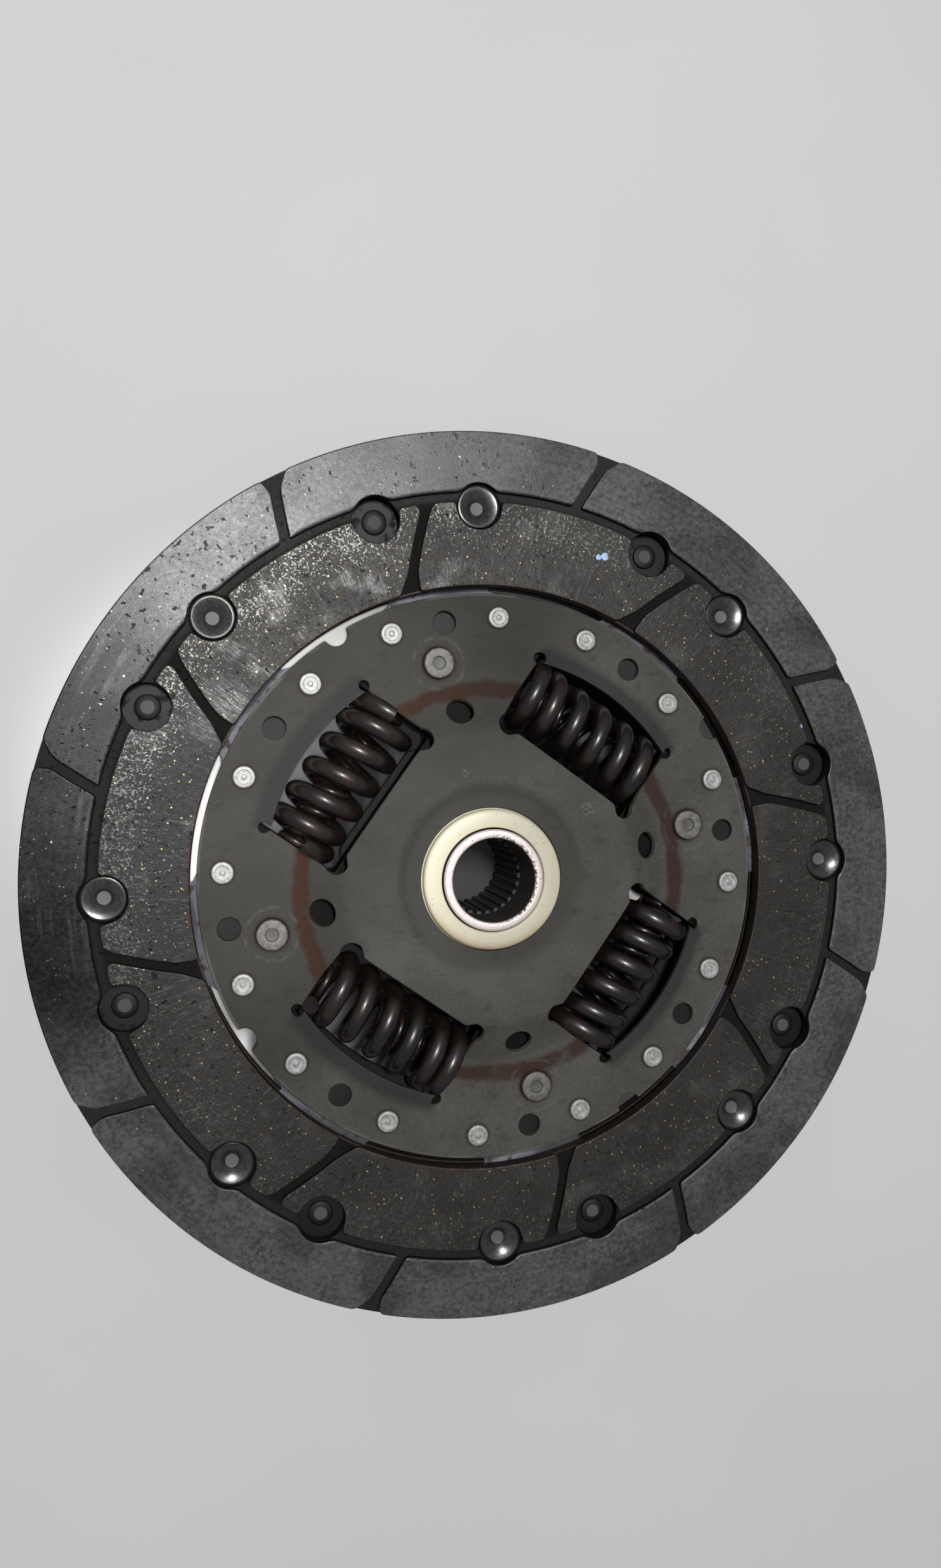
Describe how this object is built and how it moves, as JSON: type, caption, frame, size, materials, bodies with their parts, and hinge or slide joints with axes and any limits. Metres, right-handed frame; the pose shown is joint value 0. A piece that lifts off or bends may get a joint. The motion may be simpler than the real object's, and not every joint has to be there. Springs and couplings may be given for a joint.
{
  "type": "clutch disc",
  "caption": "Dry clutch driven disc: two grooved friction rings riveted over waved spring segments, a pressed spring carrier and a splined hub that twists against coil springs.",
  "frame": {"origin": "on the shaft axis at the gearbox end of the hub, the lowest point of the disc as it stands", "axes": "+Z along the shaft axis towards the flywheel side, +X and +Y through the stop pins' arms, springs at 45 degrees between them"},
  "size_m": [0.228, 0.228, 0.042],
  "materials": {
    "facing": "matt woven friction compound with metal specks",
    "rivet_brass": "dull, worn",
    "segment_steel": "blued spring steel",
    "rivet_steel": "bright",
    "plate_steel": "olive-grey phosphated, satin",
    "pin_steel": "worn, a little rust",
    "hub_steel": "machined",
    "nylon": "ivory, stained",
    "spring_steel": "dark, oiled"
  },
  "bodies": {
    "plates": {"upper_facing": "facing", "lower_facing": "facing", "upper_facing_rivets": "rivet_brass", "lower_facing_rivets": "rivet_brass", "cushion_segment_1": "segment_steel", "cushion_segment_2": "segment_steel", "cushion_segment_3": "segment_steel", "cushion_segment_4": "segment_steel", "cushion_segment_5": "segment_steel", "cushion_segment_6": "segment_steel", "cushion_segment_7": "segment_steel", "cushion_segment_8": "segment_steel", "segment_rivets": "rivet_steel", "drive_plate": "plate_steel", "counter_plate": "plate_steel", "stop_pins": "pin_steel", "hub_bush": "nylon", "friction_ring": "nylon", "diaphragm_spring": "segment_steel"},
    "hub": {"hub": "hub_steel"},
    "springs": {"damper_spring_1": "spring_steel", "damper_spring_2": "spring_steel", "damper_spring_3": "spring_steel", "damper_spring_4": "spring_steel", "inner_spring_1": "spring_steel", "inner_spring_2": "spring_steel", "inner_spring_3": "spring_steel", "inner_spring_4": "spring_steel"}
  },
  "joints": [
    {"name": "hub_twist", "type": "hinge", "parent": "plates", "child": "hub", "pos_m": [0, 0, 0.03], "axis": [0, 0, 1], "range_deg": [-5, 12], "stiffness_Nm_per_rad": 30, "deforming": ["damper_spring_1", "damper_spring_2", "damper_spring_3", "damper_spring_4", "inner_spring_1", "inner_spring_2", "inner_spring_3", "inner_spring_4"]},
    {"name": "spring_carry", "type": "hinge", "parent": "plates", "child": "springs", "pos_m": [0, 0, 0.03], "axis": [0, 0, 1], "range_deg": [-2.5, 6]}
  ],
  "couplings": [
    {"joint": "spring_carry", "follows": "hub_twist", "ratio": 0.5}
  ]
}
